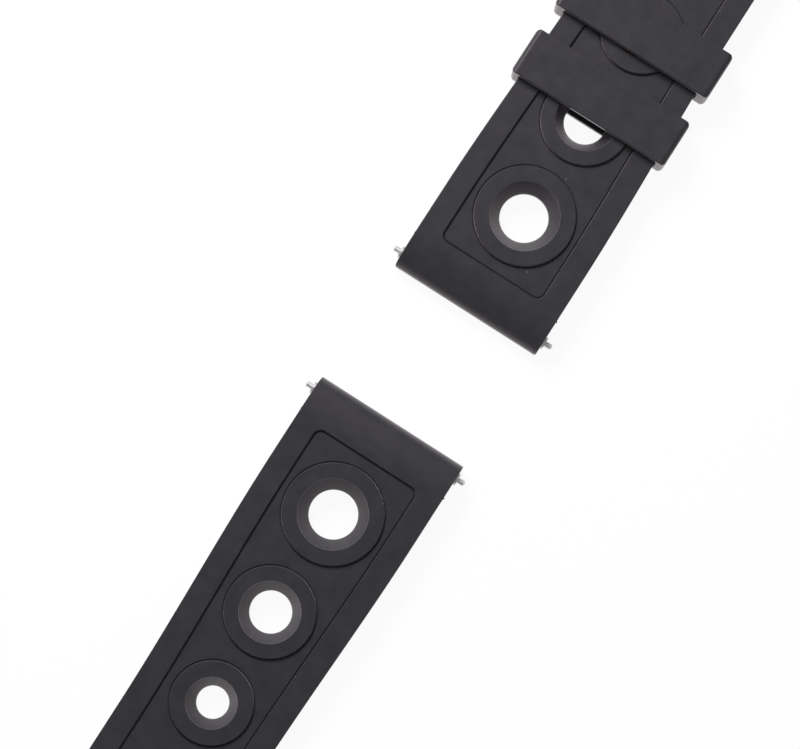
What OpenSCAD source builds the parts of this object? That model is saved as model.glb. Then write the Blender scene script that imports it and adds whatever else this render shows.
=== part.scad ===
// Silicone watch strap: two moulded halves, two loop keepers, three spring bars and a pin buckle.
// Millimetres. X runs across the strap, Y from the tail half to the buckle half, and Z up from
// the surface that the strap lies on. The origin is under the middle of the whole strap.
// Each half is drawn from its lug end, with y growing away from the watch, and then placed.

/* [Strap outline] */
// Width of both halves at the watch lugs
lug_w = 22; // [20.5:0.5:26]
// Width of both halves past the taper
band_w = 20.2; // [17:0.1:20.4]
// Where the taper starts, from the lug end
taper_start = 12; // [8:1:20]
// Where the taper ends, from the lug end
taper_end = 50; // [40:1:55]
// Length of the tail half, lug end to tip
tail_len = 120; // [115:1:135]
// Length of the buckle half, lug end to buckle bar
buckle_len = 75; // [73:1:90]
// Gap between the two lug ends as the halves lie
lug_gap = 17.5; // [5:0.1:40]
// Radius of the corners of the lug ends, seen from above
lug_corner_r = 0.6; // [0.3:0.1:1.5]
// Length of the rounded tip of the tail half
tail_tip_len = 9; // [6:0.5:11]

/* [Strap thickness] */
// Thickness of the band beside the panel
body_t = 2.75; // [2.4:0.05:3.5]
// Thickness of the tail half at its tip
tail_t = 2.3; // [1.8:0.1:2.4]
// How far from the lug end the top starts to roll over
roll_len = 5.3; // [4.5:0.1:5.5]
// How much lower the top is where the roll meets the nose
roll_drop = 0.55; // [0.3:0.05:0.8]
// Radius of the nose at the lug end
nose_r = 1.1; // [0.8:0.1:1.4]
// Radius of the lower edge of the lug end
heel_r = 0.7; // [0.3:0.1:1]
// Length of the thick heel under the lug end
heel_len = 5.5; // [4.5:0.1:7]
// Length of the blend between thick and thin, underneath
blend_len = 5; // [3:0.5:6]

/* [Panel and rings] */
// Width of the plain border beside the panel
border_w = 3.1; // [2.2:0.1:3.2]
// Where the panel starts, from the lug end
panel_start = 5.9; // [5.6:0.1:6.6]
// Corner radius of the panel
panel_corner_r = 1.2; // [0.5:0.1:2]
// Depth of the panel below the border
panel_depth = 0.3; // [0.15:0.05:0.5]
// Distance between the buckle half's panel and the tongue's slot
panel_to_slot = 6; // [4:0.5:7]
// How far the rings stand above the border
ring_proud = 0.1; // [0.05:0.05:0.3]
// First ring, from the lug end
ring_first = 14.5; // [14.3:0.1:15]
// Distances between the rings of the tail half
tail_ring_pitch = [15.1, 13.9]; // [13.5:0.1:16]
// Distances between the rings of the buckle half
buckle_ring_pitch = [15.1, 13.9]; // [13:0.1:16]
// Outer diameters of the three rings
ring_d = [13.6, 12.2, 11.1]; // [10:0.1:14]
// Diameters of the mouths of their countersinks
rim_d = [9.4, 8.2, 6.8]; // [6.6:0.1:9.8]
// Diameters of the holes through them
bore_d = [6.5, 5.6, 4.3]; // [4:0.1:6.6]
// Depth of the countersinks below the ring tops
rim_depth = 2.3; // [1.4:0.1:2.4]

/* [Adjusting holes] */
// Number of adjusting holes in the tail half
hole_count = 8; // [5:1:8]
// First adjusting hole, from the lug end
hole_first = 56.5; // [55:0.5:58]
// Distance between adjusting holes
hole_pitch = 7; // [6.4:0.1:7]
// Diameter of the adjusting holes
hole_d = 3.2; // [2.8:0.1:3.6]
// Diameter of the mouths of their countersinks
hole_rim_d = 4.4; // [4:0.1:4.8]
// Depth of their countersinks
hole_rim_depth = 0.7; // [0.4:0.1:1]
// Diameter of the collars round them
collar_d = 6; // [5.4:0.1:6.2]

/* [Keepers] */
// Middle of the lower keeper, from the lug end of the buckle half
keeper_lower_at = 33.1; // [30:0.1:36]
// Clear gap between the two keepers
keeper_apart = 3.9; // [3.1:0.1:6]
// Length of a keeper along the strap
keeper_len = 6.8; // [5:0.05:7]
// Wall of a keeper
keeper_wall = 0.95; // [0.7:0.05:1.2]
// Gap between a keeper and each edge of the strap
keeper_side_gap = 0.35; // [0.1:0.01:0.4]
// Gap between the strap and the strand under it
keeper_floor_gap = 0.3; // [0.2:0.05:0.6]
// Gap between the rings and the strand over them
keeper_play = 0.1; // [0.1:0.05:0.6]
// Outer corner radius of a keeper, seen along the strap
keeper_corner_r = 0.8; // [0.5:0.1:1.5]
// Inner corner radius of a keeper, seen along the strap
keeper_inner_r = 0.3; // [0.2:0.05:0.8]
// Corner radius of a keeper, seen from above
keeper_plan_r = 0.6; // [0.4:0.1:1.4]

/* [Spring bars] */
// Diameter of a spring bar and its flanges
bar_d = 1.8; // [1.5:0.1:1.9]
// Clearance between a bar and its bore, on the radius
bar_clear = 0.1; // [0.05:0.01:0.15]
// Distance from the lug end to the bar's axis
lug_bar_at = 1.9; // [1.8:0.05:2.4]
// How far the outer flange stands out of the lug end's side
flange_proud = 0.3; // [0.1:0.05:0.5]
// Thickness of each flange
flange_t = 0.3; // [0.2:0.05:0.4]
// Width of the groove between the flanges
groove_w = 0.4; // [0.3:0.05:0.6]
// Diameter of the groove between the flanges
groove_d = 1.2; // [1:0.05:1.3]
// Diameter of the pin at each end
pin_d = 0.8; // [0.7:0.05:1]
// Length of the pin at each end
pin_len = 1.0; // [0.8:0.1:1.3]
// Chamfer on the end of the pin
pin_chamfer = 0.15; // [0.05:0.05:0.2]
// How far each end can be pushed in
tip_travel = 1.2; // [1:0.1:1.4]
// Spare gap at each stop inside a bar
stop_gap = 0.05; // [0.03:0.01:0.08]
// Inner diameter of the tube
tube_bore_d = 1.24; // [1.1:0.02:1.3]
// Length of the crimp that keeps the end in the tube
crimp_len = 0.4; // [0.3:0.05:0.6]
// Diameter of the stem that runs through the crimp
stem_d = 0.66; // [0.5:0.02:0.8]
// Running clearance of sliding and turning metal parts, on the radius
run_clear = 0.06; // [0.04:0.01:0.1]
// Thickness of the head behind the crimp
head_t = 0.5; // [0.3:0.05:0.8]
// Diameter of the spring's wire
wire_d = 0.2; // [0.14:0.01:0.22]
// Number of turns of the spring
spring_turns = 14; // [8:1:16]

/* [Pin buckle] */
// Gap between the strap and each cheek of the buckle
cheek_gap = 0.45; // [0.35:0.05:1]
// Gap between each end flange of the buckle bar and the cheek beside it
bar_end_gap = 0.15; // [0.1:0.01:0.2]
// Thickness of each cheek
cheek_t = 2.1; // [1.8:0.1:2.6]
// Distance from the buckle bar to the middle of the front bar
front_at = 9.5; // [8.5:0.1:12]
// Diameter of the front bar
front_d = 2.5; // [2.2:0.1:3]
// How deep the small flats are on the front and the back of the front bar
bar_flat = 0.12; // [0.08:0.02:0.2]
// Height of the cheeks' underside above the surface
frame_lift = 0.1; // [0.06:0.02:0.2]
// How much higher the underside of the front bar is
front_rise = 0.05; // [0.03:0.02:0.2]
// Radius of the outer front corners
frame_corner_r = 3; // [2:0.1:3.6]
// Radius of the window's corners
window_corner_r = 1.4; // [0.8:0.1:2]
// Depth of the rest for the tongue in the front bar
rest_depth = 0.35; // [0.2:0.05:0.5]
// Width of the tongue
tongue_w = 2.0; // [1.6:0.1:2.2]
// Thickness of the tongue at its root
tongue_t = 1.3; // [1.1:0.1:1.5]
// Thickness of the tongue at its tip
tongue_tip_t = 1.0; // [0.8:0.05:1.1]
// How far the tongue reaches past the middle of the front bar
tongue_over = 1.1; // [0.6:0.1:1.4]
// Wall of the tongue's eye
eye_wall = 0.8; // [0.5:0.05:0.9]
// Gap between the tongue and each side of its slot or rest
tongue_gap = 0.5; // [0.3:0.05:0.7]
// Length of the slot in the strap, from the buckle bar
slot_len = 8; // [6:0.5:9]

/* [Hidden] */
$fn = 48;

silicone = [0.24, 0.24, 0.25];
steel = [0.78, 0.78, 0.8];
spring_steel = [0.62, 0.62, 0.64];

// Heights: the strap lies on its keepers and on its thick lug ends
belly_z = keeper_wall + keeper_floor_gap;
top_z = belly_z + body_t;
bar_z = top_z / 2;
ring_top_z = top_z + ring_proud;
panel_z = top_z - panel_depth;
bore_r = bar_d / 2 + bar_clear;
// Cuts run this far past the faces that they open
past = 1;

// Half of the strap's width at a distance from the lug end, with a smooth taper
function ease(t) = let (c = min(max(t, 0), 1)) c * c * (3 - 2 * c);
function half_w(y) = (lug_w - (lug_w - band_w) * ease((y - taper_start) / (taper_end - taper_start))) / 2;

// Keepers
keeper_upper_at = keeper_lower_at + keeper_len + keeper_apart;
keeper_inner_w = 2 * (half_w(keeper_lower_at - keeper_len / 2) + keeper_side_gap);
keeper_w = keeper_inner_w + 2 * keeper_wall;
keeper_inner_top = ring_top_z + keeper_play;
keeper_h = keeper_inner_top + keeper_wall;

// Rings, from the lug end
tail_rings = [ring_first, ring_first + tail_ring_pitch[0], ring_first + tail_ring_pitch[0] + tail_ring_pitch[1]];
buckle_rings = [
    ring_first,
    ring_first + buckle_ring_pitch[0],
    ring_first + buckle_ring_pitch[0] + buckle_ring_pitch[1]
];
adjusting_holes = [for (i = [0 : hole_count - 1]) hole_first + i * hole_pitch];
buckle_panel_end = buckle_len - slot_len - panel_to_slot;

// Spring bars, from the middle outwards along X
lug_bar_half = lug_w / 2 + flange_proud;
buckle_bar_half = band_w / 2 + cheek_gap - bar_end_gap;
flanges_len = 2 * flange_t + groove_w;
tube_inset = flanges_len + tip_travel + stop_gap;
head_inset = tube_inset + crimp_len + stop_gap;
spring_inset = head_inset + head_t + stop_gap;

// Buckle, measured from its bar
cheek_in = band_w / 2 + cheek_gap;
frame_half_w = cheek_in + cheek_t;
cheek_r = bar_z - frame_lift;
front_z = frame_lift + front_rise + front_d / 2;
front_y = front_at + front_d / 2;
eye_bore_r = bar_d / 2 + run_clear;
eye_r = eye_bore_r + eye_wall;
tongue_tip_y = front_at + tongue_over;
rest_z = front_z + front_d / 2 - rest_depth;
tongue_reach = tongue_tip_y + tongue_tip_t / 2;
slot_w = tongue_w + 2 * tongue_gap;

// The tail half leans down from its heel until its tip touches the surface
tail_lean = atan((top_z - tail_t) / (tail_len - heel_len));
tail_reach = heel_len + (tail_len - heel_len) * cos(tail_lean) + top_z * sin(tail_lean);

// Lug ends along Y, with the whole strap centred on the origin
tail_lug_y = (tail_reach - lug_gap - buckle_len - max(front_y, tongue_reach)) / 2;
buckle_lug_y = tail_lug_y + lug_gap;

module place_buckle_half() {
    translate([0, buckle_lug_y, 0]) children();
}

module place_tail_half() {
    translate([0, tail_lug_y, 0])
        rotate([0, 0, 180])
            translate([0, heel_len, 0])
                rotate([-tail_lean, 0, 0])
                    translate([0, -heel_len, 0])
                        children();
}

module at_buckle_bar() {
    place_buckle_half() translate([0, buckle_len, bar_z]) children();
}

module at_lug_bar() {
    translate([0, lug_bar_at, bar_z]) children();
}

// A drawing in Y and Z, extruded along X to the given width
module across(width) {
    rotate([90, 0, 90])
        linear_extrude(width, center = true)
            children();
}

// A solid of revolution round the X axis, from a drawing with x as the radius and y along the axis
module turned() {
    rotate([0, 90, 0]) rotate_extrude() children();
}

function arc(cx, cy, r, from, to, steps) =
    [for (i = [0 : steps]) let (a = from + (to - from) * i / steps) [cx + r * cos(a), cy + r * sin(a)]];

function mirrored(points) = [for (i = [len(points) - 1 : -1 : 0]) [-points[i][0], points[i][1]]];

// Right-hand edge of the strap, taken in by inset, between two distances from the lug end
function edge(from, to, inset, steps) =
    [for (i = [0 : steps]) let (y = from + (to - from) * i / steps) [half_w(y) - inset, y]];

// Rounded end of the tail half or of its panel, taken in by inset
function round_tip(inset, steps) = [
    for (i = [0 : steps])
        let (a = 90 * i / steps)
        [
            (band_w / 2 - inset) * cos(a),
            tail_len - tail_tip_len + (tail_tip_len - inset) * sin(a)
        ]
];

lug_corner = arc(lug_w / 2 - lug_corner_r, lug_corner_r, lug_corner_r, -90, 0, 4);

module buckle_half_outline() {
    right = concat(
        lug_corner,
        edge(taper_start, taper_end, 0, 16),
        [[band_w / 2, buckle_len + bar_z]]
    );
    polygon(concat(right, mirrored(right)));
}

module tail_half_outline() {
    right = concat(
        lug_corner,
        edge(taper_start, taper_end, 0, 16),
        round_tip(0, 10)
    );
    polygon(concat(right, mirrored(right)));
}

// The lug end seen from the side: a rolled top, a nose, a heel and the blend up to the band
roll_slope = atan(2 * roll_drop / (roll_len - nose_r));
nose_from = 90 + roll_slope;
nose_c = [nose_r, top_z - roll_drop - nose_r * sin(nose_from)];

function rolled_top(steps) = [
    for (i = [0 : steps])
        let (t = i / steps, y = roll_len + (nose_c[0] + nose_r * cos(nose_from) - roll_len) * t)
        [y, top_z - roll_drop * t * t]
];

// Underside of the band between two distances, from one share of its height to another
function blend(from, to, low, high, steps) = [
    for (i = [0 : steps])
        let (t = i / steps)
        [from + (to - from) * t, belly_z * (low + (high - low) * ease(t))]
];

lug_end_side = concat(
    rolled_top(8),
    arc(nose_c[0], nose_c[1], nose_r, nose_from, 180, 6),
    arc(heel_r, heel_r, heel_r, 180, 270, 5),
    blend(heel_len, heel_len + blend_len, 0, 1, 8)
);

module buckle_half_side() {
    polygon(concat(
        lug_end_side,
        blend(buckle_len - bar_z - blend_len, buckle_len - bar_z / 2, 1, 0, 8),
        [[buckle_len, 0], [buckle_len, top_z]]
    ));
    translate([buckle_len, bar_z]) circle(bar_z);
}

module tail_half_side() {
    polygon(concat(lug_end_side, [[tail_len, top_z - tail_t], [tail_len, top_z]]));
}

module panel_outline(end_points) {
    start = half_w(panel_start) - border_w;
    right = concat(
        arc(start - panel_corner_r, panel_start + panel_corner_r, panel_corner_r, -90, 0, 5),
        edge(taper_start, taper_end, border_w, 16),
        end_points
    );
    polygon(concat(right, mirrored(right)));
}

module sunk_panel(end_points) {
    translate([0, 0, panel_z])
        linear_extrude(panel_depth + past)
            panel_outline(end_points);
}

module boss(y, d) {
    translate([0, y, panel_z - past / 2])
        cylinder(d = d, h = ring_top_z - panel_z + past / 2, $fn = 96);
}

module countersunk_hole(y, through_d, mouth_d, depth) {
    translate([0, y, -past])
        cylinder(d = through_d, h = ring_top_z + 2 * past, $fn = 96);
    translate([0, y, ring_top_z - depth])
        cylinder(d1 = through_d, d2 = mouth_d, h = depth, $fn = 96);
    translate([0, y, ring_top_z])
        cylinder(d = mouth_d, h = past, $fn = 96);
}

module lug_bar_bore() {
    at_lug_bar()
        rotate([0, 90, 0])
            cylinder(r = bore_r, h = lug_w + 2 * past, center = true);
}

module strap_buckle_half() {
    panel_end = arc(band_w / 2 - border_w - panel_corner_r, buckle_panel_end - panel_corner_r, panel_corner_r, 0, 90, 5);
    color(silicone)
        place_buckle_half()
            difference() {
                union() {
                    difference() {
                        intersection() {
                            translate([0, 0, -past])
                                linear_extrude(top_z + 2 * past)
                                    buckle_half_outline();
                            across(lug_w + 2 * past) buckle_half_side();
                        }
                        sunk_panel(panel_end);
                    }
                    for (i = [0 : 2]) boss(buckle_rings[i], ring_d[i]);
                }
                for (i = [0 : 2]) countersunk_hole(buckle_rings[i], bore_d[i], rim_d[i], rim_depth);
                lug_bar_bore();
                translate([0, buckle_len, bar_z])
                    rotate([0, 90, 0])
                        cylinder(r = bore_r, h = lug_w + 2 * past, center = true);
                tongue_slot();
            }
}

// The slot that the tongue turns in, open at the buckle end and round at the other
module tongue_slot() {
    translate([0, 0, -past])
        linear_extrude(top_z + 2 * past) {
            translate([0, buckle_len - slot_len + slot_w / 2]) circle(d = slot_w);
            translate([-slot_w / 2, buckle_len - slot_len + slot_w / 2]) square([slot_w, slot_len + bar_z]);
        }
}

module strap_tail_half() {
    color(silicone)
        place_tail_half()
            difference() {
                union() {
                    difference() {
                        intersection() {
                            translate([0, 0, -past])
                                linear_extrude(top_z + 2 * past)
                                    tail_half_outline();
                            across(lug_w + 2 * past) tail_half_side();
                        }
                        sunk_panel(round_tip(border_w, 10));
                    }
                    for (i = [0 : 2]) boss(tail_rings[i], ring_d[i]);
                    for (y = adjusting_holes) boss(y, collar_d);
                }
                for (i = [0 : 2]) countersunk_hole(tail_rings[i], bore_d[i], rim_d[i], rim_depth);
                for (y = adjusting_holes) countersunk_hole(y, hole_d, hole_rim_d, hole_rim_depth);
                lug_bar_bore();
            }
}

// A rectangle with round corners, about the origin, from squares and circles
module round_rect(w, h, r) {
    square([w - 2 * r, h], center = true);
    square([w, h - 2 * r], center = true);
    for (x = [-1, 1], y = [-1, 1])
        translate([x * (w / 2 - r), y * (h / 2 - r)]) circle(r);
}

module keeper(at) {
    inner_h = keeper_inner_top - keeper_wall;
    color(silicone)
        place_buckle_half()
            translate([0, at, keeper_h / 2])
                difference() {
                    intersection() {
                        rotate([90, 0, 0])
                            linear_extrude(keeper_len, center = true)
                                round_rect(keeper_w, keeper_h, keeper_corner_r);
                        linear_extrude(keeper_h + past, center = true)
                            round_rect(keeper_w, keeper_len, keeper_plan_r);
                    }
                    rotate([90, 0, 0])
                        linear_extrude(keeper_len + past, center = true)
                            round_rect(keeper_inner_w, inner_h, keeper_inner_r);
                }
}

module keeper_lower() {
    keeper(keeper_lower_at);
}

module keeper_upper() {
    keeper(keeper_upper_at);
}

// Tube of a spring bar, with a crimp at each end. The bar reaches half to each side.
module bar_tube(half) {
    end = half - tube_inset;
    in = end - crimp_len;
    tube_r = bar_d / 2;
    crimp_r = stem_d / 2 + run_clear;
    color(steel)
        turned()
            polygon([
                [tube_r, -end], [tube_r, end], [crimp_r, end], [crimp_r, in],
                [tube_bore_d / 2, in], [tube_bore_d / 2, -in], [crimp_r, -in], [crimp_r, -end]
            ]);
}

// Right-hand end of a spring bar: pin, two flanges with a groove, stem and head
module bar_tip(half) {
    inner = half - flanges_len;
    head_r = tube_bore_d / 2 - run_clear;
    flange_r = bar_d / 2;
    end = half + pin_len;
    color(steel)
        turned()
            polygon([
                [0, half - head_inset - head_t], [head_r, half - head_inset - head_t],
                [head_r, half - head_inset], [stem_d / 2, half - head_inset],
                [stem_d / 2, inner], [flange_r, inner], [flange_r, inner + flange_t],
                [groove_d / 2, inner + flange_t], [groove_d / 2, half - flange_t],
                [flange_r, half - flange_t], [flange_r, half], [pin_d / 2, half],
                [pin_d / 2, end - pin_chamfer], [pin_d / 2 - pin_chamfer, end], [0, end]
            ]);
}

// Coil spring between the two heads, one tube swept along a helix round the X axis
module bar_spring(half) {
    reach = half - spring_inset - wire_d / 2;
    coil_r = tube_bore_d / 2 - run_clear - wire_d / 2;
    per_turn = 8;
    sides = 6;
    rings = spring_turns * per_turn;
    points = [
        for (i = [0 : rings], k = [0 : sides - 1])
            let (
                turn = 360 * i / per_turn,
                side = 360 * k / sides,
                r = coil_r + wire_d / 2 * cos(side),
                x = -reach + 2 * reach * i / rings + wire_d / 2 * sin(side)
            )
            [x, r * cos(turn), r * sin(turn)]
    ];
    walls = [
        for (i = [0 : rings - 1], k = [0 : sides - 1])
            let (a = i * sides + k, b = i * sides + (k + 1) % sides)
            each [[a, a + sides, b], [b, a + sides, b + sides]]
    ];
    caps = [
        for (k = [1 : sides - 2])
            each [[0, k, k + 1], [rings * sides, rings * sides + k + 1, rings * sides + k]]
    ];
    color(spring_steel) polyhedron(points, concat(walls, caps));
}

module buckle_lug_bar_tube() {
    place_buckle_half() at_lug_bar() bar_tube(lug_bar_half);
}

module buckle_lug_bar_spring() {
    place_buckle_half() at_lug_bar() bar_spring(lug_bar_half);
}

module buckle_lug_bar_tip_left() {
    place_buckle_half() at_lug_bar() mirror([1, 0, 0]) bar_tip(lug_bar_half);
}

module buckle_lug_bar_tip_right() {
    place_buckle_half() at_lug_bar() bar_tip(lug_bar_half);
}

module tail_lug_bar_tube() {
    place_tail_half() at_lug_bar() bar_tube(lug_bar_half);
}

module tail_lug_bar_spring() {
    place_tail_half() at_lug_bar() bar_spring(lug_bar_half);
}

// The tail half is turned round, so its left-hand end is drawn on the right
module tail_lug_bar_tip_left() {
    place_tail_half() at_lug_bar() bar_tip(lug_bar_half);
}

module tail_lug_bar_tip_right() {
    place_tail_half() at_lug_bar() mirror([1, 0, 0]) bar_tip(lug_bar_half);
}

module buckle_bar_tube() {
    at_buckle_bar() bar_tube(buckle_bar_half);
}

module buckle_bar_spring() {
    at_buckle_bar() bar_spring(buckle_bar_half);
}

module buckle_bar_tip_left() {
    at_buckle_bar() mirror([1, 0, 0]) bar_tip(buckle_bar_half);
}

module buckle_bar_tip_right() {
    at_buckle_bar() bar_tip(buckle_bar_half);
}

// Two circles and the straight belt round them, drawn in Y and Z from the buckle bar's axis
module belt(c1, r1, c2, r2) {
    d = c2 - c1;
    lean = atan2(d[1], d[0]);
    spread = acos((r1 - r2) / norm(d));
    up = [cos(lean + spread), sin(lean + spread)];
    down = [cos(lean - spread), sin(lean - spread)];
    translate(c1) circle(r1);
    translate(c2) circle(r2);
    polygon([c1 + r1 * up, c1 + r1 * down, c2 + r2 * down, c2 + r2 * up]);
}

module frame_outline() {
    length = 2 * cheek_r + front_y - bar_flat;
    window_end = front_at - front_d / 2 + bar_flat;
    difference() {
        translate([0, front_y - bar_flat - length / 2]) {
            square([2 * frame_half_w, length - 2 * frame_corner_r], center = true);
            translate([-frame_half_w, -length / 2]) square([2 * frame_half_w, length / 2]);
            square([2 * (frame_half_w - frame_corner_r), length], center = true);
            for (x = [-1, 1])
                translate([x * (frame_half_w - frame_corner_r), length / 2 - frame_corner_r])
                    circle(frame_corner_r);
        }
        translate([-cheek_in, -3 * cheek_r])
            square([2 * cheek_in, window_end - window_corner_r + 3 * cheek_r]);
        translate([-cheek_in + window_corner_r, 0])
            square([2 * (cheek_in - window_corner_r), window_end]);
        for (x = [-1, 1])
            translate([x * (cheek_in - window_corner_r), window_end - window_corner_r])
                circle(window_corner_r);
    }
}

module buckle_frame() {
    color(steel)
        at_buckle_bar()
            difference() {
                intersection() {
                    linear_extrude(4 * bar_z, center = true) frame_outline();
                    across(2 * frame_half_w + past)
                        belt([0, 0], cheek_r, [front_at, front_z - bar_z], front_d / 2);
                }
                rotate([0, 90, 0])
                    cylinder(
                        d = pin_d + 2 * run_clear,
                        h = 2 * (buckle_bar_half + pin_len + run_clear),
                        center = true
                    );
                translate([-slot_w / 2, front_at - front_d, rest_z - bar_z])
                    cube([slot_w, 2 * front_d, front_d]);
            }
}

module buckle_tongue() {
    root_z = eye_r - tongue_t / 2;
    tip_z = rest_z + run_clear + tongue_tip_t / 2 - bar_z;
    color(steel)
        at_buckle_bar()
            difference() {
                union() {
                    across(tongue_w) circle(eye_r);
                    across(tongue_w)
                        belt([0, root_z], tongue_t / 2, [tongue_tip_y, tip_z], tongue_tip_t / 2);
                }
                rotate([0, 90, 0])
                    cylinder(r = eye_bore_r, h = tongue_w + past, center = true);
            }
}

strap_buckle_half();
strap_tail_half();
keeper_lower();
keeper_upper();
buckle_lug_bar_tube();
buckle_lug_bar_spring();
buckle_lug_bar_tip_left();
buckle_lug_bar_tip_right();
tail_lug_bar_tube();
tail_lug_bar_spring();
tail_lug_bar_tip_left();
tail_lug_bar_tip_right();
buckle_bar_tube();
buckle_bar_spring();
buckle_bar_tip_left();
buckle_bar_tip_right();
buckle_frame();
buckle_tongue();
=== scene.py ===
"""Silicone watch strap in two halves, with its keepers, sprung bars and pin buckle."""

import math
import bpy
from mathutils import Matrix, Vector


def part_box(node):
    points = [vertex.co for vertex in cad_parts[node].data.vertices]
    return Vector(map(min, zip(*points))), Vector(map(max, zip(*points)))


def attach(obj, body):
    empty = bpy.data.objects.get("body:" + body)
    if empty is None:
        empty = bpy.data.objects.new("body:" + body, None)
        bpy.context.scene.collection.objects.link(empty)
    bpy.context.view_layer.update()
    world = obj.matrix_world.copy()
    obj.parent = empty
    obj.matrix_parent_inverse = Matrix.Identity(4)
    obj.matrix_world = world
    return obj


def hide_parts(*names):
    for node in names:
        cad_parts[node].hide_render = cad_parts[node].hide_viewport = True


bl_info = {
    "name": "Silicone Watch Strap",
    "version": (1, 0, 0),
    "blender": (4, 5, 0),
    "location": "View3D > Sidebar > Strap",
    "description": "Builds a silicone watch strap with its keepers, sprung bars and pin buckle",
    "category": "Object",
}

import bmesh
import bpy
from mathutils import Matrix, Vector

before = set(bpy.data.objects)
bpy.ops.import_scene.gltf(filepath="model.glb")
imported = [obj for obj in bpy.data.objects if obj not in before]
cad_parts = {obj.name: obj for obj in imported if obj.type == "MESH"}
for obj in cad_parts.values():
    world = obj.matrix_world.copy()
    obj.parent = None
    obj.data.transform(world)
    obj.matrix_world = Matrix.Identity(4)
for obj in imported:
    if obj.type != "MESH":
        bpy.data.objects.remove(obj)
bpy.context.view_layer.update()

buckle_lug_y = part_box("strap_buckle_half")[0].y
keeper_box = {name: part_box(name) for name in ("keeper_lower", "keeper_upper")}

ACROSS = Vector((1.0, 0.0, 0.0))
ALONG = Vector((0.0, 1.0, 0.0))
UP = Vector((0.0, 0.0, 1.0))
WHITE = (1.0, 1.0, 1.0, 1.0)

SAME_POINT = 1e-8  # metres, points nearer to each other than this are one
LOOSE_POINT = 2e-7  # metres, the same for moved points and for loose triangles
AT_PLACE = 1e-6  # metres, how far from a place a point still counts as there
SNUG = 0.99  # how much of the length between two corners their roundings may take up
SAME_PLANE = 0.999998  # cosine of the turn between two faces of one flat region
SHARP_DEGREES = 35.0  # edges that turn by more than this are shaded crisp
UNDER_RIM = 0.0003  # metres, width and height of the rim under a hole, which follows the underside's slope
TAPER_STEPS = 24  # straight pieces of the tapering edges
TIP_STEPS = 25  # straight pieces of each side of the tip
TIP_DEGREES = 88.0  # how far each side of the tip turns, which leaves a short straight end
EDGE_SEGMENTS = 4  # across each rounded edge
BORE_SEGMENTS = 48  # round each bore for a bar
RING_SEGMENTS = 128  # round each ring
HOLE_SEGMENTS = 72  # round each adjusting hole
PHOTO_WIDTH = 800.0  # pixels
SENSOR_WIDTH = 36.0  # millimetres

# ---------------------------------------------------------------- properties


def length(name, description, default):
    """A length in metres that shows in the scene's own unit."""
    return bpy.props.FloatProperty(
        name=name, description=description, default=default, min=0.0, precision=5, subtype="DISTANCE", unit="LENGTH"
    )


def lengths(name, description, default):
    """Several lengths in metres."""
    return bpy.props.FloatVectorProperty(
        name=name, description=description, default=default, size=len(default), precision=5, unit="LENGTH"
    )


def coordinate(name, description, default):
    """A place on an axis, in metres from the origin."""
    return bpy.props.FloatProperty(name=name, description=description, default=default, precision=5, unit="LENGTH")


def share(name, description, default, low=0.0, high=1.0):
    """A plain number between two limits."""
    return bpy.props.FloatProperty(name=name, description=description, default=default, min=low, max=high)


def colour(name, description, default):
    """A linear colour."""
    return bpy.props.FloatVectorProperty(
        name=name, description=description, default=default, size=3, min=0.0, max=1.0, subtype="COLOR"
    )


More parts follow.
